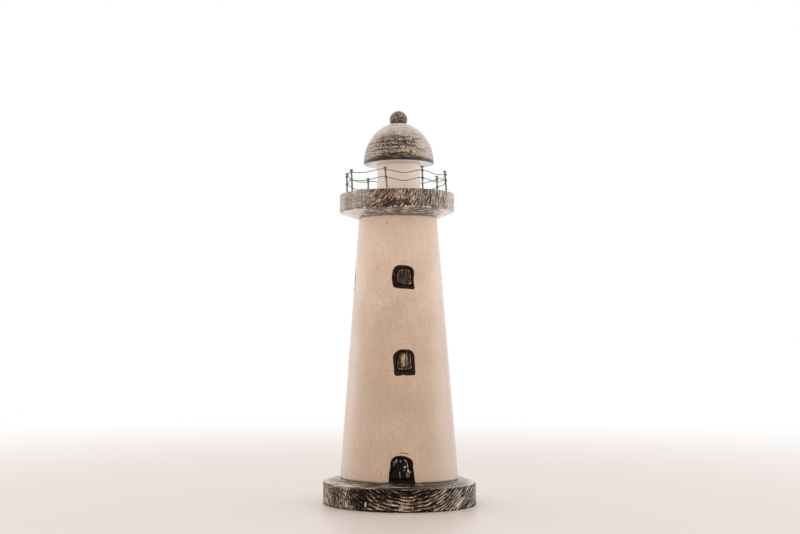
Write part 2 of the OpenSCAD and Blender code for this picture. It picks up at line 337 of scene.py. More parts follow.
class Shader(Nodes):
    """One material's nodes. Places are in mm, from the piece's own middle along X."""

    def __init__(self, name, middle=0.0):
        self.material = bpy.data.materials.new(name)
        self.material.use_nodes = True
        super().__init__(self.material.node_tree)
        place = self.node("ShaderNodeTexCoord").outputs["Object"]
        self.place = self.node("ShaderNodeMapping", {"Vector": place, "Location": (-middle / MM, 0, 0),
                                                     "Scale": (1 / MM,) * 3}).outputs["Vector"]
        self.x, self.y, self.z = self.node("ShaderNodeSeparateXYZ", {"Vector": self.place}).outputs

    def mark(self, name):
        """A number that the mesh keeps on its points."""
        return self.node("ShaderNodeAttribute", attribute_name=name).outputs["Fac"]

    def stretched(self, x, y, z):
        """Places divided by a size along each axis."""
        return self.node("ShaderNodeVectorMath", {0: self.place, 1: (1 / x, 1 / y, 1 / z)},
                         operation="MULTIPLY").outputs["Vector"]

    def joined(self, x, y, z):
        return self.node("ShaderNodeCombineXYZ", {"X": x, "Y": y, "Z": z}).outputs["Vector"]

    def streaks(self, rings, width, length):
        """Streaks along rings given as a distance, about as wide and long as said."""
        along = [self.calc("DIVIDE", axis, length) for axis in (self.x, self.y)]
        return self.noise(self.joined(self.calc("DIVIDE", rings, width), *along), 1.0, 3.0, 0.6)

    def radius(self):
        return self.length(self.x, self.y)

    def front(self, end=0.0):
        """1 on the front, fading to 0 at a place along Y."""
        return self.fade(self.y, -2.0, end, 1.0, 0.0)

    def aside(self, low, high, end=1.0):
        """0 in the middle, rising to end on both sides."""
        return self.fade(self.calc("ABSOLUTE", self.x), low, high, 0.0, end)

    def away(self, x, z, wide=1.0, tall=1.0):
        """How far it is from a place across and up, in its widths and heights."""
        across = self.total(-x / wide, (self.x, 1 / wide))
        return self.length(across, self.total(-z / tall, (self.z, 1 / tall)))

    def spot(self, x, z, wide, tall):
        """An uneven spot on the front, 1 inside it."""
        uneven = self.noise(self.place, 0.7, 2.0, 0.6)
        away = self.total(-0.8, (self.away(x, z, wide, tall), 1.0), (uneven, 1.6))
        return self.product(self.fade(away, 0.6, 1.0, 1.0, 0.0), self.front())

    def arc_line(self, x, z, radius, start_x, end_x):
        """A thin line on the front along the top of a circle, between two places across."""
        off = self.calc("ABSOLUTE", self.calc("SUBTRACT", self.away(x, z), radius))
        line = self.fade(off, 0.18, 0.5, 1.0, 0.0)
        start = self.fade(self.x, start_x - 1.0, start_x + 0.5)
        end = self.fade(self.x, end_x - 0.5, end_x + 1.0, 1.0, 0.0)
        return self.product(line, start, end, self.fade(self.z, z, z + 2.0), self.front())

    def finish(self, colour, roughness, height, bump_mm, specular=0.5, sheen=0.0, metallic=0.0):
        """Gives the material. Specular, sheen and metallic are plain numbers."""
        bump = self.node("ShaderNodeBump", {"Height": height, "Distance": bump_mm * MM})
        surface = self.node("ShaderNodeBsdfPrincipled", {
            "Base Color": colour, "Roughness": roughness, "Specular IOR Level": specular,
            "Sheen Weight": sheen, "Metallic": metallic, "Normal": bump.outputs["Normal"]})
        return self.shown(surface.outputs["BSDF"])

    def shown(self, surface):
        self.node("ShaderNodeOutputMaterial", {"Surface": surface})
        return self.material


# Materials

BARE_WOOD = srgb(196, 178, 156)
CHIP_WHITE = srgb(236, 228, 219)


def ring_strokes(s, width, length, gap, lines, specked=0.4):
    """Strokes that follow the growth rings, around 0.5, with lines at the given gap and specks."""
    ring, sweep = s.mark("ring"), s.mark("sweep")
    grain = s.joined(s.calc("DIVIDE", ring, width), s.calc("DIVIDE", sweep, length),
                     s.calc("DIVIDE", s.y, 24))
    strokes = s.noise(grain, 1, 2, 0.5)
    fine = s.noise(grain, 2.4, 2, 0.6)
    specks = s.noise(s.stretched(0.8, 0.8, 0.8), 1, 2, 0.6)
    wobble = s.noise(s.place, 0.07, 1)
    year = s.calc("SINE", s.total(0, (ring, 2 * math.pi / gap), (wobble, 7)))
    return s.total(-0.175 - specked / 2, (strokes, 0.9), (year, lines), (fine, 0.45), (specks, specked))


def edge_wear(s, start):
    """Bare places on the worn edges, where the wear is above the start, with fine specks."""
    specks = s.noise(s.stretched(0.8, 0.8, 0.8), 1, 2, 0.6)
    return s.fade(s.total(-0.7 - start, (s.mark("wear"), 1), (specks, 1.4)), 0, 0.25)


def base_wood():
    """Near-black stain rubbed back to pale wood in strokes along the rings, finer to the right
    and lost in fine mottling on the left."""
    s = Shader("stained_base")
    bold = ring_strokes(s, 0.55, 6, BASE_RING_GAP, 0.08)
    thin = ring_strokes(s, 0.5, 8, 1.9, 0.06)
    mottle = s.noise(s.stretched(0.6, 0.6, 1.7), 1, 2, 0.65)
    patches = s.noise(s.place, 0.06, 2)
    faint = s.noise(s.stretched(9, 9, 4), 1, 2, 0.5)
    left = s.fade(s.total(-10, (s.x, 1), (patches, 20)), -38, -27, 1, 0)
    right = s.fade(s.x, 8, 40)
    strokes = s.between(s.fade(s.x, 10, 28), bold, thin)
    strokes = s.between(left, strokes, s.total(0.07, (mottle, 1)))
    dark_left = s.spot(-34, 8, 11, 9)
    dark_top = s.spot(-2, 14, 25, 4.5)
    # Partly a dark stain, partly painted contact shadow: the lowest mm or so of the rim is darkened
    # where the base meets the floor.
    dark_edge = s.fade(s.z, 0.2, 1.6, -0.1, 0)
    pale_right = s.spot(25, 8, 9, 9)
    level = s.total(-0.185, (strokes, 1), (patches, 0.18), (faint, 0.24), (right, 0.03),
                    (dark_left, -0.09), (dark_top, -0.1), (pale_right, 0.03), (dark_edge, 1))
    warm = s.ramp(level, (0.45, 14, 9, 5), (0.54, 42, 28, 18), (0.6, 108, 83, 62),
                  (0.66, 190, 161, 136), (0.76, 232, 217, 201))
    cool = s.ramp(level, (0.46, 14, 11, 8), (0.55, 40, 31, 24), (0.61, 108, 92, 77),
                  (0.67, 188, 172, 155), (0.77, 236, 228, 217))
    colour = s.blend(s.most(s.product(left, 0.5), right), warm, cool)
    pink = s.most(s.spot(-3.7, 2.4, 2.5, 1.5), s.spot(-3.2, 4.8, 1, 1.7))
    colour = s.blend(s.product(pink, s.fade(mottle, 0.38, 0.5)), colour, srgb(200, 168, 148))
    chip = s.spot(-28.7, 5.3, 0.8, 2)
    colour = s.blend(chip, colour, srgb(226, 214, 198))
    colour = s.blend(edge_wear(s, 1), colour, BARE_WOOD)
    return s.finish(colour, s.fade(level, 0.5, 0.7, 0.34, 0.5), level, 0.3, specular=0.06)


def base_slope_wood():
    """The same stain on the sloping top, smoother, in streaks around it, with painted reflection on its
    sides.
    """
    s = Shader("stained_base_slope")
    radius = s.radius()
    streaks = s.streaks(radius, 0.8, 16)
    patches = s.noise(s.place, 0.09, 2)
    # Painted reflection pales the sides and outer edge; painted shade darkens the front right by the
    # tower.
    aside = s.aside(18, 48)
    rubbed = s.product(s.fade(radius, 49, 56.5), aside)
    dark = s.spot(13, BASE_TOP / MM - 1, 13, 3)
    level = s.total(-0.27, (streaks, 1.2), (patches, 0.3), (aside, 0.04), (rubbed, 0.1), (dark, -0.06))
    colour = s.ramp(level, (0.4, 22, 15, 9), (0.5, 62, 48, 36), (0.57, 130, 113, 97),
                    (0.66, 206, 196, 184))
    colour = s.blend(edge_wear(s, 1), colour, BARE_WOOD)
    return s.finish(colour, s.fade(streaks, 0.4, 0.6, 0.16, 0.3), level, 0.2, specular=0.3)


def gallery_wood(low):
    """Brown stain with slanting strokes, dark low in the middle and redder above it, greyer to the
    right and chipped white along its lower edge, with painted sheen paling its left and front right
    ends."""
    s = Shader("stained_gallery", GALLERY_X)
    strokes = ring_strokes(s, 0.45, 4.5, GALLERY_RING_GAP, 0.03, 0.6)
    streaks = s.noise(s.stretched(1.5, 1.5, 22), 1, 3, 0.6)
    mottle = s.noise(s.stretched(1, 1, 1.6), 1, 3, 0.65)
    patches = s.noise(s.place, 0.08, 2)
    dark_foot = s.spot(-4.5, low + 2.5, 13, 4.2)
    # Painted sheen: the front right end is made paler.
    painted_end_sheen = s.product(s.fade(s.x, 24, 42), s.front(14))
    level = s.total(-0.095, (strokes, 1), (patches, 0.25), (dark_foot, -0.13), (painted_end_sheen, 0.18))
    warm = s.ramp(level, (0.42, 40, 28, 19), (0.5, 88, 68, 52), (0.57, 132, 108, 87),
                  (0.64, 190, 170, 149), (0.74, 228, 217, 205))
    grey = s.ramp(level, (0.42, 52, 42, 35), (0.52, 102, 87, 77), (0.6, 148, 134, 123),
                  (0.7, 206, 197, 188))
    red_top = s.spot(-10, low + 10.5, 7, 2.6)
    warm = s.blend(s.product(red_top, 0.3), warm, srgb(122, 84, 58))
    colour = s.blend(s.fade(s.x, 4, 26), warm, grey)
    dark_edge = s.fade(s.z, low + 0.8, low + 2.4, -0.12, 0)
    # Painted sheen: a pale haze over the left end, uneven with the strokes and thinner at the lower
    # edge.
    thickness = s.total(-0.16, (streaks, 0.35), (strokes, 0.3), (mottle, 0.35), (patches, 0.3),
                        (dark_edge, 1))
    sheen_haze = s.ramp(thickness, (0.36, 118, 105, 98), (0.5, 178, 165, 157), (0.64, 220, 212, 207))
    colour = s.blend(s.fade(s.x, -31, -20, 0.9, 0), colour, sheen_haze)
    bare = s.blend(s.fade(s.z, low + 3, low + 8), CHIP_WHITE, srgb(178, 148, 116))
    colour = s.blend(edge_wear(s, 0.7), colour, bare)
    return s.finish(colour, s.fade(level, 0.44, 0.66, 0.36, 0.5), level, 0.25, specular=0.15, sheen=0.3)


def gallery_bevel_wood():
    """The gallery's sloping underside, smoother, in level streaks, painted paler to the sides as
    reflection.
    """
    s = Shader("stained_gallery_bevel", GALLERY_X)
    flecks = s.streaks(s.radius(), 0.7, 6)
    patches = s.noise(s.place, 0.08, 2)
    # Painted reflection: the sides, the left one more, are made paler.
    left = s.fade(s.x, -40, -24, 1, 0)
    level = s.total(-0.35, (flecks, 1.4), (patches, 0.25), (s.aside(20, 40), 0.41), (left, 0.04))
    colour = s.ramp(level, (0.38, 48, 37, 31), (0.5, 104, 88, 79), (0.6, 172, 161, 155),
                    (0.7, 234, 230, 228))
    colour = s.blend(edge_wear(s, 0.7), colour, CHIP_WHITE)
    return s.finish(colour, s.fade(flecks, 0.4, 0.6, 0.1, 0.22), level, 0.15, sheen=0.2)


def dome_grain(s, low):
    """Level streaks along the cap's rings, veiled at its crown by a painted sheen haze."""
    streaks = s.streaks(s.mark("ring"), 0.7, 8)
    sheen_haze = s.noise(s.stretched(2.6, 2.6, 1.4), 1, 3, 0.6)
    crown = s.fade(s.z, low + 17, low + 25)
    return s.between(crown, streaks, s.total(0.15, (streaks, 0.3), (sheen_haze, 0.4)))


def dome_pores(s, specks, low):
    """Rows of pores along the rings of the cap's lower half."""
    row = s.calc("PINGPONG", s.total(0, (s.mark("ring"), 1 / 3.2)), 0.5)
    reach = s.product(s.fade(s.z, low + 3, low + 5), s.fade(s.z, low + 16, low + 21, 1, 0))
    return s.product(s.fade(s.total(0, (specks, 1), (row, -0.45)), 0.46, 0.52), reach)


def knotted(s, colour, specks, low):
    """The colour with a golden knot on the front right, with a dark heart and a bright chip."""
    across, up = KNOT
    gold = s.product(s.spot(across, low + up, 10, 3.2), s.fade(specks, 0.4, 0.6, 0.1, 0.8))
    colour = s.blend(gold, colour, srgb(206, 193, 162))
    heart = s.spot(across - 1.3, low + up - 1, 1.3, 0.9)
    colour = s.blend(heart, colour, srgb(34, 22, 14))
    chip = s.spot(across + 0.7, low + up - 0.6, 0.8, 0.7)
    return s.blend(chip, colour, srgb(244, 237, 218))


def dome_wood():
    """Grey-brown stain with level grain, rows of pale pores, a golden knot, a dark band and rim,
    with painted sheen giving it a hazy crown, a lighter top and paler front limbs."""
    s = Shader("stained_dome", LANTERN_X)
    low = DOME_BOTTOM / MM
    streaks = dome_grain(s, low)
    patches = s.noise(s.place, 0.09, 2)
    # Painted sheen: lighter towards the top.
    up = s.fade(s.z, low + 8, DOME_TOP / MM - 1, 0.03, 0.27)
    band = s.spot(-4, low + 15, 19, 5.6)
    foot = s.spot(-3, low + 3.5, 15, 3.5)
    # Painted sheen: the front limbs are made paler, the right one more.
    sides = s.calc("ADD", s.fade(s.x, 6, 20, 0, 0.16), s.fade(s.x, -24, -12, 0.07, 0))
    painted_limb_sheen = s.product(sides, s.front(10))
    level = s.total(-0.2, (streaks, 1.15), (patches, 0.3), (up, 1), (band, -0.2), (foot, -0.05),
                    (painted_limb_sheen, 1))
    colour = s.ramp(level, (0.36, 36, 23, 16), (0.48, 82, 61, 49), (0.58, 130, 109, 97),
                    (0.7, 178, 162, 153), (0.84, 212, 200, 194))
    specks = s.noise(s.stretched(1, 1, 0.9), 1, 1, 0.5)
    pores = dome_pores(s, specks, low)
    colour = s.blend(s.product(pores, 0.8), colour, srgb(218, 202, 190))
    colour = knotted(s, colour, specks, low)
    rim = s.fade(s.z, low + 1, low + 4.5, 0.85, 0)
    colour = s.blend(rim, colour, srgb(26, 19, 15))
    colour = s.blend(edge_wear(s, 1.4), colour, srgb(176, 163, 152))
    height = s.total(0, (streaks, 1), (pores, 0.5))
    return s.finish(colour, s.fade(level, 0.4, 0.7, 0.34, 0.5), height, 0.22, specular=0.15, sheen=0.6)


def ball_wood():
    """Dark olive-brown stain, mottled, darker low down."""
    s = Shader("stained_finial", LANTERN_X)
    mottle = s.noise(s.stretched(1.5, 1.5, 2), 1, 3, 0.65)
    grain = s.noise(s.stretched(5, 5, 0.7), 1, 2, 0.6)
    low = s.fade(s.z, FINIAL_BOTTOM / MM, FINIAL_BOTTOM / MM + 7, -0.1, 0.03)
    level = s.total(-0.1, (mottle, 0.8), (grain, 0.4), (low, 1))
    colour = s.ramp(level, (0.36, 44, 35, 27), (0.5, 108, 95, 80), (0.64, 172, 160, 143))
    return s.finish(colour, s.fade(level, 0.4, 0.6, 0.36, 0.5), level, 0.2, specular=0.3, sheen=0.3)


def freckles(s, foot, strength):
    """Soft brown freckles, most of them left of the middle and low down."""
    cells = s.node("ShaderNodeTexVoronoi", {"Vector": s.stretched(2.3, 2.3, 3.2), "Scale": 1.0}).outputs
    chance = s.node("ShaderNodeSeparateColor", {"Color": cells["Color"]}).outputs["Red"]
    patches = s.noise(s.place, 0.05, 1)
    left = s.fade(s.calc("ABSOLUTE", s.total(16, (s.x, 1))), 4, 14, 0, -0.36)
    low = s.fade(s.z, foot + 20, foot + 150, 0.24, -0.08)
    chance = s.total(-0.3, (chance, 1), (patches, 0.6), (left, 1), (low, 1))
    gap = s.calc("SUBTRACT", cells["Distance"], s.fade(chance, 0.5, 1, 0, 0.3))
    return s.product(s.fade(gap, -0.2, 0.12, strength, 0), s.fade(chance, 0.5, 0.65))


def joint_shade(s, foot, head, joint_shade_share):
    """Painted shadow lines in the joints at both ends, in uneven patches."""
    joint = s.most(s.fade(s.z, foot + 0.3, foot + 1.5, 0.9, 0),
                   s.fade(s.z, head - 1.2, head - 0.2, 0, 0.8))
    patches = s.noise(s.place, 0.16, 2)
    return s.product(joint, s.fade(patches, 0.28, 0.52, 0, joint_shade_share))


def cream_paint(name, ends, tones, rough, freckled, joint_shade_share, specular=0.5, sides=None, smears=(),
                scribed=None):
    """Warm off-white paint over upright grain, in a shade, a plain and a light tone, with painted
    light making it lighter higher up and painted shade in its joints. Smears are given as for spot,
    the scribed line as for arc_line, and sides as a colour for a painted highlight on the sides."""
    s = Shader(name)
    foot, head = (z / MM for z in ends)
    shade, plain, light = tones
    streaks = s.noise(s.stretched(0.9, 0.9, 26), 1, 3, 0.6)
    clouds = s.noise(s.place, 0.035, 2)
    mottle = s.noise(s.place, 0.4, 3, 0.6)
    # Painted light: the tower is made lighter higher up.
    rise = s.fade(s.z, BASE_TOP / MM + 60, TOWER_TOP / MM, -0.03, 0.14)
    tone = s.total(0.15, (streaks, 0.2), (clouds, 0.3), (mottle, 0.2), (rise, 1))
    colour = s.ramp(tone, (0.36, *shade), (0.5, *plain), (0.66, *light))
    # Painted highlight: the sides are made paler.
    if sides:
        colour = s.blend(s.aside(5, 14, 0.8), colour, srgb(*sides))
    freckle = freckles(s, foot, freckled)
    colour = s.blend(freckle, colour, srgb(150, 113, 86))
    # Painted shade in the joints, with the smears and the scribed line, which are marks on the paint,
    # added to it.
    shade_and_dirt = joint_shade(s, foot, head, joint_shade_share)
    for smear in smears:
        shade_and_dirt = s.most(shade_and_dirt, s.product(s.spot(*smear), 0.6))
    if scribed:
        shade_and_dirt = s.most(shade_and_dirt, s.arc_line(*scribed))
    colour = s.blend(shade_and_dirt, colour, srgb(104, 80, 60))
    roughness = s.fade(mottle, 0.3, 0.7, rough, rough + 0.12)
    height = s.total(0, (streaks, 0.5), (mottle, 0.5), (shade_and_dirt, -1), (freckle, -0.5))
    return s.finish(colour, roughness, height, 0.08, specular, sheen=0.9)


def tower_paint():
    """The paint on the tower, with a few smears and a line scribed over the door."""
    tones = (190, 162, 137), (204, 176, 151), (227, 202, 179)
    smears = [(2.1, 180.6, 0.4, 1.3), (-0.2, 181, 0.3, 1.5), (-10.7, 210, 0.5, 1),
              (-7, 208.5, 0.4, 0.8), (9.4, 209.5, 0.4, 1.2), (-6, 216, 7, 0.6),
              (2.5, 216, 4, 1.2)]
    scribed = (-2.2, BASE_TOP / MM + 6.6, 15.2, -3, 3)
    return cream_paint("cream_tower", (BASE_TOP, TOWER_TOP), tones, rough=0.28, freckled=0.45, joint_shade_share=1,
                       smears=smears, scribed=scribed)


def lantern_paint():
    """The paint on the lantern, glossier, with fewer freckles, less painted shade in its joints, and
    its sides painted paler as a highlight.
    """
    tones = (240, 213, 194), (247, 225, 207), (250, 232, 216)
    return cream_paint("cream_lantern", (GALLERY_TOP, DOME_BOTTOM), tones, rough=0.12, freckled=0.15,
                       joint_shade_share=0.2, specular=1, sides=(255, 245, 236))


def underside_paint():
    """Pale satin paint under the cap, with faint turning rings."""
    s = Shader("pale_underside")
    rings = s.noise(s.joined(s.calc("DIVIDE", s.radius(), 0.8), 0, 0), 1, 2, 0.5)
    clouds = s.noise(s.place, 0.15, 2)
    tone = s.total(0, (rings, 0.5), (clouds, 0.5))
    colour = s.ramp(tone, (0.35, 246, 240, 235), (0.65, 254, 251, 248))
    return s.finish(colour, s.fade(clouds, 0.3, 0.7, 0.1, 0.2), rings, 0.04, sheen=0.3)


def black_paint(name, dark, brown, grey):
    """Brown-black paint over carving, greyer where it is rubbed or given a painted highlight, and bare
    in a few streaks.
    """
    s = Shader(name)
    raised, bare = s.mark("raised"), s.mark("bare")
    streaks = s.noise(s.stretched(0.5, 0.5, 4.5), 1, 2, 0.6)
    flecks = s.noise(s.stretched(0.45, 0.45, 1), 1, 2, 0.6)
    level = s.total(0.035, (streaks, 0.6), (flecks, 0.3), (raised, 0.3))
    colour = s.ramp(level, (0.5, *dark), (0.62, *brown), (0.73, *grey), (0.88, 206, 200, 190))
    wood = s.ramp(streaks, (0.36, 96, 70, 48), (0.5, 168, 138, 104), (0.64, 222, 200, 168))
    through = s.fade(s.total(-0.6, (streaks, 0.5), (flecks, 0.4), (bare, 0.6)), 0.08, 0.26)
    colour = s.blend(through, colour, wood)
    height = s.total(0, (streaks, 1), (flecks, 0.5))
    return s.finish(colour, s.fade(level, 0.5, 0.75, 0.36, 0.55), height, 0.15, specular=0.05)


def dark_metal():
    """Iron gone dark and a little green, duller where it is pitted."""
    s = Shader("dark_iron")
    stains = s.noise(s.place, 0.6, 3, 0.6)
    pits = s.noise(s.place, 4, 2)
    colour = s.ramp(stains, (0.35, 72, 78, 70), (0.55, 116, 120, 108), (0.7, 158, 148, 126))
    return s.finish(colour, s.fade(pits, 0.3, 0.7, 0.35, 0.6), pits, 0.03, metallic=0.5)


# Turned pieces

WEAR_DEPTH = 0.3 * MM


def turned_base():
    rise = math.atan2(BASE_TOP - BASE_RIM_H, BASE_R - LAND_R)
    drop = BASE_EDGE * (1 - math.sin(rise)) / math.cos(rise)
    inner = BASE_R - BASE_EDGE
    profile = [(0, 0), (inner - 6 * MM, 0)]
    profile += arc(inner, BASE_EDGE, BASE_EDGE, -90, 0, 4)
    profile += arc(inner, BASE_RIM_H - drop, BASE_EDGE, 0, 90 - math.degrees(rise), 4)
    profile += [(LAND_R, BASE_TOP), (TOWER_FOOT_R - 2 * MM, BASE_TOP), (0, BASE_TOP)]
    edges = [(BASE_R, BASE_RIM_H, 0.9 * MM), (BASE_R, 0, 0.9 * MM)]
    pith = (0, BASE_TOP + 33 * MM)

    def shape(points):
        marks = growth(points, *pith, 3) | {"wear": wear(points, edges, 11)}
        wall = np.clip((points[:, 2] - 0.3 * MM) / MM, 0, 1)
        ridges = ring_ridges(marks["ring"], BASE_RING_GAP, 0.07 * MM, 0.1 * MM)
        return (ridges - WEAR_DEPTH * marks["wear"]) * wall, marks

    piece = lathe("turned_base", profile, 0.7 * MM, 480, shape)
    dress(piece, ["base_disc"], "stained_wood", base_wood(), base_slope_wood())
    for face in piece.data.polygons:
        face.material_index = int(face.center.z > BASE_RIM_H)


def turned_gallery():
    rise = math.atan2(GALLERY_SLOPE_H, GALLERY_R - GALLERY_SEAT_R)
    drop = GALLERY_EDGE * (1 - math.sin(rise)) / math.cos(rise)
    inner = GALLERY_R - GALLERY_EDGE
    low_z = TOWER_TOP + GALLERY_SLOPE_H
    profile = [(0, TOWER_TOP), (GALLERY_SEAT_R, TOWER_TOP)]
    profile += arc(inner, low_z + drop, GALLERY_EDGE, math.degrees(rise) - 90, 0, 4)
    profile += arc(inner, GALLERY_TOP - GALLERY_EDGE, GALLERY_EDGE, 0, 90, 4)
    profile += [(0, GALLERY_TOP)]
    edges = [(GALLERY_R, low_z, 1.5 * MM), (GALLERY_R, GALLERY_TOP, 0.8 * MM)]
    pith = (-28 * MM, GALLERY_TOP + 5 * MM)

    def shape(points):
        marks = growth(points, *pith, 7) | {"wear": wear(points, edges, 130)}
        out = np.clip((np.hypot(points[:, 0], points[:, 1]) - GALLERY_SEAT_R) / (2 * MM), 0, 1)
        ridges = ring_ridges(marks["ring"], GALLERY_RING_GAP, 0.05 * MM, 0.07 * MM)
        return (ridges - WEAR_DEPTH * marks["wear"]) * out, marks

    piece = lathe("turned_gallery", profile, 0.6 * MM, 440, shape, GALLERY_X)
    dress(piece, ["gallery_disc"], "stained_wood", gallery_wood(low_z / MM), gallery_bevel_wood())
    for face in piece.data.polygons:
        face.material_index = int(face.center.z < low_z)


def painted_lantern():
    edge = 0.3 * MM
    profile = [(0, GALLERY_TOP), (LANTERN_R - edge, GALLERY_TOP), (LANTERN_R, GALLERY_TOP + edge),
               (LANTERN_R, DOME_BOTTOM - edge), (LANTERN_R - edge, DOME_BOTTOM), (0, DOME_BOTTOM)]

    def shape(points):
        wall = np.hypot(points[:, 0], points[:, 1]) > LANTERN_R - 0.1 * MM
        return (0.06 * MM * wander(points, 15 * MM, 31) - 0.06 * MM) * wall, {}

    piece = lathe("painted_lantern", profile, MM, 200, shape, LANTERN_X)
    dress(piece, ["lantern_drum"], "cream_paint", lantern_paint())


def turned_dome():
    curve_h = (DOME_TOP - DOME_BOTTOM - DOME_EDGE) / math.sin(math.acos(FINIAL_SEAT_R / DOME_R))
    profile = [(0, DOME_BOTTOM), (LANTERN_R, DOME_BOTTOM)]
    profile += arc(DOME_R - DOME_EDGE, DOME_BOTTOM + DOME_EDGE, DOME_EDGE, -90, -15, 4)
    turns = np.linspace(0, math.acos(FINIAL_SEAT_R / DOME_R), 40)
    profile += [(DOME_R * math.cos(t), DOME_BOTTOM + DOME_EDGE + curve_h * math.sin(t)) for t in turns]
    profile += [(0, DOME_TOP)]
    edges = [(DOME_R, DOME_BOTTOM, 1.2 * MM)]
    knot_x, knot_up = KNOT

    def shape(points):
        """Level rings that swerve around the knot on the front right."""
        bend = 0.9 * MM * wander(points, 26 * MM, 9) + 0.25 * MM * wander(points, 7 * MM, 10)
        away = np.hypot(points[:, 0] - knot_x * MM, points[:, 2] - DOME_BOTTOM - knot_up * MM)
        swerve = 0.9 * MM * np.exp(-(away / (2.8 * MM)) ** 2) * (points[:, 1] < 0)
        marks = {"ring": (points[:, 2] - DOME_BOTTOM + bend + swerve) / MM,
                 "wear": wear(points, edges, 41)}
        ridges = ring_ridges(marks["ring"], DOME_RING_GAP, 0.05 * MM, 0.07 * MM)
        out = np.hypot(points[:, 0], points[:, 1]) > LANTERN_R + MM
        shell = (points[:, 2] > DOME_BOTTOM + 0.1 * MM) & (points[:, 2] < DOME_TOP - 0.1 * MM)
        return ridges * shell - 0.25 * MM * marks["wear"] * out, marks

    piece = lathe("turned_dome", profile, 0.7 * MM, 320, shape, LANTERN_X)
    dress(piece, ["dome_cap"], "cap_wood", dome_wood(), underside_paint())
    for face in piece.data.polygons:
        face.material_index = int(face.normal.z < -0.97 and face.center.z < DOME_BOTTOM + MM)


def turned_finial():
    middle = FINIAL_TOP - FINIAL_R
    low = -math.degrees(math.acos(FINIAL_SEAT_R / FINIAL_R))
    profile = [(0, FINIAL_BOTTOM)] + arc(0, middle, FINIAL_R, low, 90, 40)
    profile[-1] = (0, FINIAL_TOP)

    def shape(points):
        above = points[:, 2] > FINIAL_BOTTOM + 0.05 * MM
        return (0.1 * MM * wander(points, 4 * MM, 51) - 0.1 * MM) * above, {}

    piece = lathe("turned_finial", profile, 0.4 * MM, 140, shape, LANTERN_X)
    dress(piece, ["finial_ball"], "stained_wood", ball_wood())


# Tower and carved panels

OUTLINE_WANDER = 0.45 * MM
CARVE_WANDER = 0.35 * MM
FIELD_IN = BORDER_W + GROOVE_W + FIELD_BEVEL_W
POCKET_PLAY = 0.04 * MM
CUT_OVERRUN = 2 * MM
ARCH_POWER = 0.8
CORNER_STEPS = 8
FOOT_STEPS = 36
SIDE_STEPS = 22
ARCH_STEPS = 72

# An arched outline: widths at its foot and at the arch's spring, height, rise, corner radius
Outline = namedtuple("Outline", "foot_w spring_w h rise corner")
DOOR = Outline(19.6 * MM, 16.8 * MM, 19.8 * MM, 7 * MM, 0.3 * MM)
UPPER_WINDOW = Outline(16.6 * MM, 16.6 * MM, 17.6 * MM, 6.4 * MM, 2.2 * MM)
LOWER_WINDOW = Outline(15.8 * MM, 15.8 * MM, 18.9 * MM, 6.4 * MM, 2.2 * MM)
UPPER_Z = BASE_TOP + 150.1 * MM
LOWER_Z = BASE_TOP + 87.1 * MM

# A panel's raised field: mm aside and up from the outline's middle, taper, slant and how rubbed
Field = namedtuple("Field", "aside up taper slant rubbed")


def tower_r_at(z):
    return TOWER_FOOT_R - (z - BASE_TOP) * (TOWER_FOOT_R - TOWER_HEAD_R) / (TOWER_TOP - BASE_TOP)


def corner_points(across, up, radius, start_deg):
    turns = np.radians(start_deg + np.arange(CORNER_STEPS) * 90 / CORNER_STEPS)
    return [(across + radius * math.cos(t), up + radius * math.sin(t)) for t in turns]


def line_points(start, end, count):
    return [(start[0] + (end[0] - start[0]) * k / count, start[1] + (end[1] - start[1]) * k / count)
            for k in range(count)]


def arched_loop(sizes, taken_in):
    """Points around an outline taken in all round, from its lower left, as (across, up)."""
    foot, spring, tall = (size / 2 - taken_in for size in (sizes.foot_w, sizes.spring_w, sizes.h))
    share = tall / (sizes.h / 2)
    rise, corner = sizes.rise * share, sizes.corner * share
    points = corner_points(corner - foot, corner - tall, corner, 180)
    points += line_points((corner - foot, -tall), (foot - corner, -tall), FOOT_STEPS)
    points += corner_points(foot - corner, corner - tall, corner, 270)
    points += line_points((foot, corner - tall), (spring, tall - rise), SIDE_STEPS)
    for t in np.radians(np.arange(ARCH_STEPS) * 180 / ARCH_STEPS):
        side = math.copysign(abs(math.cos(t)) ** ARCH_POWER, math.cos(t))
        points.append((side * spring, tall - rise + rise * math.sin(t) ** ARCH_POWER))
    points += line_points((-spring, tall - rise), (-foot, corner - tall), SIDE_STEPS)
    return np.array(points)


def around(flat, stretches):
    """The sum at each point of stretches (degrees around the middle, strength, degrees wide)."""
    turn = np.degrees(np.arctan2(flat[:, 1], flat[:, 0]))
    amount = np.zeros(len(flat))
    for at, strength, wide in stretches:
        off = (turn - at + 180) % 360 - 180
        amount += strength * np.exp(-(off / wide) ** 2)
    return amount


def spots(flat, places):
    """The sum at each point of soft spots (mm across, mm up, mm wide, mm tall, strength)."""
    amount = np.zeros(len(flat))
    for across, up, wide, tall, strength in places:
        off = ((flat[:, 0] / MM - across) / wide) ** 4 + ((flat[:, 1] / MM - up) / tall) ** 4
        amount += strength * np.exp(-off)
    return amount


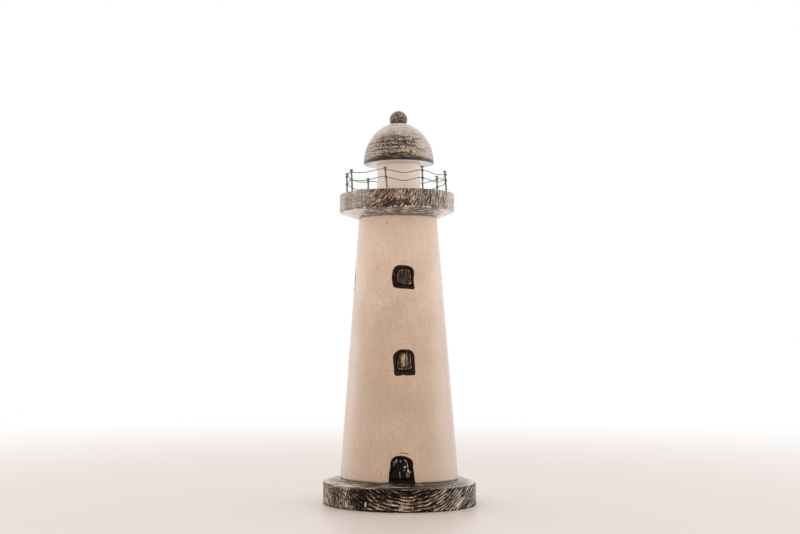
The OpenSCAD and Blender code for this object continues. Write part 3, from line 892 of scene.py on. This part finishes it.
class Panel:
    """One carved panel in the tower: its node, outline, place, and what the hand left on it.

    Bumps of the outline, in mm, and stretches of the field's edge that are rubbed and painted as
    highlights are given as for around, and bare places and scuffs, partly painted highlights, as for
    spots.
    """

    def __init__(self, node, sizes, middle_z, turn_deg, twist_deg, seed, field,
                 bumps=(), edge=((90, 0.4, 90),), bare=(), scuffs=()):
        self.node, self.sizes, self.middle_z, self.seed = node, sizes, middle_z, seed
        self.turn, self.twist = math.radians(turn_deg), math.radians(twist_deg)
        self.field, self.bumps, self.edge = field, bumps, edge
        self.bare, self.scuffs = bare, scuffs

    def loop(self, taken_in):
        flat = arched_loop(self.sizes, taken_in)
        field = self.field
        inside = min(max((taken_in - BORDER_W / 2) / (FIELD_IN - BORDER_W / 2), 0), 1)
        push = around(flat, self.bumps) * MM * (1 - inside)
        flat = flat + push[:, None] * flat / np.linalg.norm(flat, axis=1)[:, None]
        flat[:, 0] *= 1 - inside * field.taper * flat[:, 1] / (self.sizes.h / 2)
        flat[:, 0] += inside * field.slant * flat[:, 1]
        flat += inside * MM * np.array([field.aside, field.up])
        places = np.column_stack([flat, np.full(len(flat), taken_in)])
        uneven = OUTLINE_WANDER + inside * CARVE_WANDER
        flat = flat + uneven * np.column_stack([wander(places, 6 * MM, self.seed),
                                                wander(places, 6 * MM, self.seed + 0.5)])
        across, up = flat.T
        cos, sin = math.cos(self.twist), math.sin(self.twist)
        return np.column_stack([across * cos - up * sin, across * sin + up * cos])

    def on_cone(self, flat, depth):
        """Puts points (across, up) on the tower's surface, sunk by depth."""
        z = np.maximum(self.middle_z + flat[:, 1], BASE_TOP)
        r = tower_r_at(z)
        turn = self.turn + flat[:, 0] / r
        r = r - depth
        return np.column_stack([r * np.sin(turn), -r * np.cos(turn), z])

    def cutter(self):
        """A closed block that cuts this panel's pocket."""
        flat = self.loop(-POCKET_PLAY)
        rows = [self.on_cone(flat, POCKET_DEPTH), self.on_cone(flat, -CUT_OVERRUN)]
        if self.middle_z - self.sizes.h / 2 < BASE_TOP + MM:
            for row in rows:
                row[row[:, 2] < BASE_TOP + 0.6 * MM, 2] = BASE_TOP - MM
        count = len(flat)
        points = np.vstack(rows + [rows[0].mean(0), rows[1].mean(0)])
        faces = []
        for i in range(count):
            j = (i + 1) % count
            faces += [(i, j, count + j, count + i), (2 * count, j, i),
                      (2 * count + 1, count + i, count + j)]
        return points, faces

    def stations(self):
        """Steps from the back edge over the border, groove and bevel to the field's middle: (taken in,
        depth, how rubbed, gouge depth, share of the edge's rubbing and painted highlight, rows to the
        next)."""
        middle = min(self.sizes.spring_w, self.sizes.h) / 2 - 0.3 * MM
        rub = self.field.rubbed
        light = 0.1 * MM
        deep = 0.22 * MM
        return [(0, POCKET_DEPTH, -0.2, 0, 0, 3),
                (0, 0.1 * MM, 0.0, 0, 0, 2),
                (0.25 * MM, -0.02 * MM, 0.1, 0, 0, 5),
                (BORDER_W - 0.3 * MM, 0.1 * MM, 0.0, light, 0, 2),
                (BORDER_W, 0.3 * MM, 0.15, light, 0, 3),
                (BORDER_W + 0.2 * MM, GROOVE_DEPTH, -0.3, light, 0, 2),
                (BORDER_W + GROOVE_W, GROOVE_DEPTH, -0.3, light, 0, 5),
                (FIELD_IN - 0.3 * MM, FIELD_SINK + 0.25 * MM, rub, deep, 0.4, 2),
                (FIELD_IN, FIELD_SINK, rub, deep, 1, 2),
                (FIELD_IN + 0.6 * MM, FIELD_SINK - 0.05 * MM, rub, deep, 0, 12),
                (middle, FIELD_SINK - 0.1 * MM, rub, deep, 0, 1)]

    def carve(self, look):
        """The carved panel as a closed relief."""
        steps = self.stations()
        rows, raised, bare = [], [], []
        for here, there in zip(steps, steps[1:] + steps[-1:]):
            count = here[-1]
            for k in range(count):
                taken_in, depth, rub, gouge, edge = (a + (b - a) * k / count
                                                     for a, b in zip(here, there[:-1]))
                flat = self.loop(taken_in)
                strokes = np.column_stack([flat[:, 0] / 1.1, flat[:, 1] / 6.0, np.zeros(len(flat))])
                rows.append(self.on_cone(flat, depth + gouge * wander(strokes, MM, self.seed + 2)))
                # The edge stretches and scuffs lighten the paint partly as rubbing, partly as painted
                # highlights.
                raised.append(rub + edge * around(flat, self.edge) + spots(flat, self.scuffs))
                bare.append(spots(flat, self.bare))
        points = np.vstack(rows + [rows[-1].mean(0), rows[0].mean(0)])
        marks = {"raised": np.concatenate(raised + [[raised[-1].mean(), 0]]),
                 "bare": np.concatenate(bare + [[bare[-1].mean(), 0]])}
        count = len(rows[0])
        last = (len(rows) - 1) * count
        front, back = len(points) - 2, len(points) - 1
        faces = []
        for i in range(count):
            j = (i + 1) % count
            faces += [(k + i, k + j, k + count + j, k + count + i) for k in range(0, last, count)]
            faces += [(last + i, last + j, front), (j, i, back)]
        piece = mesh_object("carved_" + self.node, points, faces, marks, 50)
        dress(piece, [self.node], "black_paint", look)


PANELS = [
    Panel("door_panel", DOOR, BASE_TOP + DOOR.h / 2, -2.4, 0, 1, Field(-1.0, 0.9, 0.1, 0, 0.1),
          bumps=[(60, -0.5, 14), (5, -0.3, 20)], edge=[(64, 1.7, 14), (32, 1.8, 14), (128, 0.8, 14)],
          scuffs=[(4.6, -0.6, 0.8, 1.0, 1.5), (6.2, -1.8, 0.8, 0.8, 1.1), (2.2, 1.8, 1.1, 0.8, 1.1),
                  (1.6, -0.6, 0.9, 0.6, 0.8), (-6.1, 4.0, 0.45, 2.2, 1.0), (-4.0, 6.4, 0.5, 1.7, 1.1),
                  (-1.5, -4.0, 0.5, 3.0, 0.9), (4.5, -3.5, 1.7, 2.2, 0.6), (-1.0, 6.0, 0.5, 0.9, 0.8)]),
    Panel("front_upper_window", UPPER_WINDOW, UPPER_Z, 1.5, -2, 2, Field(0.7, 0.4, 0.14, 0, 0.28),
          bumps=[(-46, 0.9, 8), (-135, -0.9, 22), (178, 0.4, 25)],
          edge=[(108, 0.6, 24), (50, 0.9, 14), (12, 0.5, 14), (-40, 1.0, 9), (172, 0.5, 26),
                (-75, 0.4, 18)]),
    Panel("front_lower_window", LOWER_WINDOW, LOWER_Z, 1.2, 2, 3, Field(0.45, 1.5, 0.2, 0.1, 0.2),
          bumps=[(-98, -0.5, 6), (-50, 0.3, 10)],
          edge=[(10, 1.1, 32), (-38, 1.2, 10), (190, 0.7, 26), (-120, 0.7, 22), (-80, 0.4, 14)],
          bare=[(-1.0, 1.7, 1.7, 5.2, 1.0)], scuffs=[(1.9, 2.2, 0.7, 4.6, 0.7)]),
    Panel("left_upper_window", UPPER_WINDOW, UPPER_Z, -96, 2, 4, Field(0.3, 0.5, 0.12, 0, 0.35),
          bumps=[(-130, -0.6, 18)], bare=[(1.5, 1.0, 0.8, 3.6, 0.7)]),
    Panel("left_lower_window", LOWER_WINDOW, LOWER_Z, -104, -1, 5, Field(0.2, 0.8, 0.18, 0.05, 0.25),
          bumps=[(-60, -0.5, 16)], bare=[(0.5, 1.0, 1.3, 4.2, 0.9)]),
    Panel("right_upper_window", UPPER_WINDOW, UPPER_Z, 97, -1, 6, Field(-0.4, 0.4, 0.1, 0, 0.35),
          bumps=[(-52, -0.7, 18)], bare=[(-1.0, 0.0, 0.9, 3.6, 0.8)]),
    Panel("right_lower_window", LOWER_WINDOW, LOWER_Z, 98, 2, 7, Field(0.1, 0.9, 0.15, -0.05, 0.25),
          bumps=[(-128, 0.4, 10)], bare=[(1.0, 2.0, 1.3, 3.8, 0.9)]),
    Panel("back_upper_window", UPPER_WINDOW, UPPER_Z, 181, 1, 8, Field(0.4, 0.3, 0.14, 0.05, 0.35),
          bumps=[(-48, -0.6, 16)], bare=[(0.0, 1.0, 1.0, 3.8, 0.75)]),
    Panel("back_lower_window", LOWER_WINDOW, LOWER_Z, 179, -2, 9, Field(-0.2, 1.0, 0.18, 0, 0.25),
          bumps=[(-132, -0.5, 16)], bare=[(-1.0, 1.0, 1.2, 4.2, 0.9)]),
]


def pocket_tool():
    """All the pocket cutters as one object."""
    blocks, faces, first = [], [], 0
    for panel in PANELS:
        points, sides = panel.cutter()
        blocks.append(points)
        faces += [tuple(first + v for v in side) for side in sides]
        first += len(points)
    return mesh_object("pocket_tool", np.vstack(blocks), faces)


def cut_pockets(piece):
    """Cuts the panels' pockets out of the tower."""
    tool = pocket_tool()
    cut = piece.modifiers.new("pockets", "BOOLEAN")
    cut.operation = "DIFFERENCE"
    cut.solver = "EXACT"
    cut.object = tool
    bpy.context.view_layer.update()
    shown = piece.evaluated_get(bpy.context.evaluated_depsgraph_get())
    finished = bpy.data.meshes.new_from_object(shown)
    piece.modifiers.clear()
    piece.data = finished
    finished.materials.clear()
    shade_smooth(finished, 30)
    bpy.data.objects.remove(tool)


def painted_tower():
    low, high = BASE_TOP + JOINT_BEVEL, TOWER_TOP - JOINT_BEVEL
    profile = [(0, BASE_TOP), (TOWER_FOOT_R - JOINT_BEVEL, BASE_TOP), (tower_r_at(low), low),
               (tower_r_at(high), high), (TOWER_HEAD_R - JOINT_BEVEL, TOWER_TOP), (0, TOWER_TOP)]

    def shape(points):
        wall = (points[:, 2] > BASE_TOP + 0.1 * MM) & (points[:, 2] < TOWER_TOP - 0.1 * MM)
        return (0.05 * MM * wander(points, 18 * MM, 61) - 0.03 * MM) * wall, {}

    piece = lathe("painted_tower", profile, 1.3 * MM, 256, shape)
    cut_pockets(piece)
    dress(piece, ["tower_body"], "cream_paint", tower_paint())


def carve_panels():
    window_black = black_paint("window_black", (38, 23, 12), (76, 62, 50), (128, 120, 108))
    door_black = black_paint("door_black", (18, 10, 6), (50, 34, 26), (120, 111, 103))
    for panel in PANELS:
        panel.carve(door_black if panel.node == "door_panel" else window_black)


# Railing

def dress_railing():
    metal = dark_metal()
    for name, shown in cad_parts.items():
        if name.startswith("rail_nail") or name.endswith("rail_wire"):
            shown.data.materials.clear()
            shown.data.materials.append(metal)


# Floor and light

FLOOR_HALF = 4.0
FLOOR_DROP = 0.1 * MM
FLOOR_FADE_MM = (250.0, 1100.0)
WHITE = (1, 1, 1, 1)
FRONT_LIGHT = (0.90, 0.84, 0.79, 1)
BACK_LIGHT = (1.08, 1.08, 1.10, 1)
LAMPS = {"soft_left": ((-0.85, 0.45, 0.14), 0.75), "soft_right": ((0.93, 0.1, 0.14), 1.2)}
LAMP_WIDE = 0.7
LAMP_TALL = 0.26
LAMP_AIM = (0, 0, 0.2)
LAMP_COLOUR = (0.86, 0.93, 1.0)


def make_floor():
    """A pale floor that keeps the shadow near the object and goes white further away."""
    corners = np.array([(-1, -1, 0), (1, -1, 0), (1, 1, 0), (-1, 1, 0)]) * FLOOR_HALF
    floor = mesh_object("floor", corners, [(0, 1, 2, 3)])
    floor.location.z = -FLOOR_DROP
    s = Shader("pale_floor")
    matt = s.node("ShaderNodeBsdfPrincipled", {"Base Color": srgb(238, 226, 219), "Roughness": 0.4})
    glow = s.node("ShaderNodeEmission", {"Color": WHITE})
    away = s.node("ShaderNodeVectorMath", {0: s.place}, operation="LENGTH").outputs["Value"]
    far = s.product(s.fade(away, *FLOOR_FADE_MM), s.seen_rays())
    look = s.mixed(far, matt.outputs["BSDF"], glow.outputs["Emission"])
    floor.data.materials.append(s.shown(look))


def make_lamps():
    """A wide, low soft box on each side, the left one a little behind the object."""
    for name, (place, watts) in LAMPS.items():
        data = bpy.data.lights.new(name, "AREA")
        data.shape = "RECTANGLE"
        data.size = LAMP_WIDE
        data.size_y = LAMP_TALL
        data.energy = watts
        data.color = LAMP_COLOUR
        lamp = bpy.data.objects.new(name, data)
        lamp.location = place
        away = Vector(place) - Vector(LAMP_AIM)
        lamp.rotation_euler = away.to_track_quat("Z", "Y").to_euler()
        bpy.context.collection.objects.link(lamp)


def make_light():
    """Soft light all round, stronger and cooler from behind, weaker from above, seen as white."""
    world = bpy.data.worlds.new("soft_light")
    bpy.context.scene.world = world
    world.use_nodes = True
    sky = Nodes(world.node_tree)
    way = sky.node("ShaderNodeTexCoord").outputs["Generated"]
    _, back, up = sky.node("ShaderNodeSeparateXYZ", {"Vector": way}).outputs
    tint = sky.blend(sky.fade(back, -0.7, 0.7, way="LINEAR"), FRONT_LIGHT, BACK_LIGHT)
    strength = sky.fade(up, 0.15, 0.85, 1.2, 0.8, way="LINEAR")
    light = sky.node("ShaderNodeBackground", {"Color": tint, "Strength": strength}).outputs["Background"]
    white = sky.node("ShaderNodeBackground", {"Color": WHITE}).outputs["Background"]
    sky.node("ShaderNodeOutputWorld", {"Surface": sky.mixed(sky.seen_rays(), light, white)})
    bpy.context.scene.view_settings.view_transform = "Standard"


make_camera()
turned_base()
painted_tower()
carve_panels()
turned_gallery()
dress_railing()
painted_lantern()
turned_dome()
turned_finial()
make_floor()
make_lamps()
make_light()
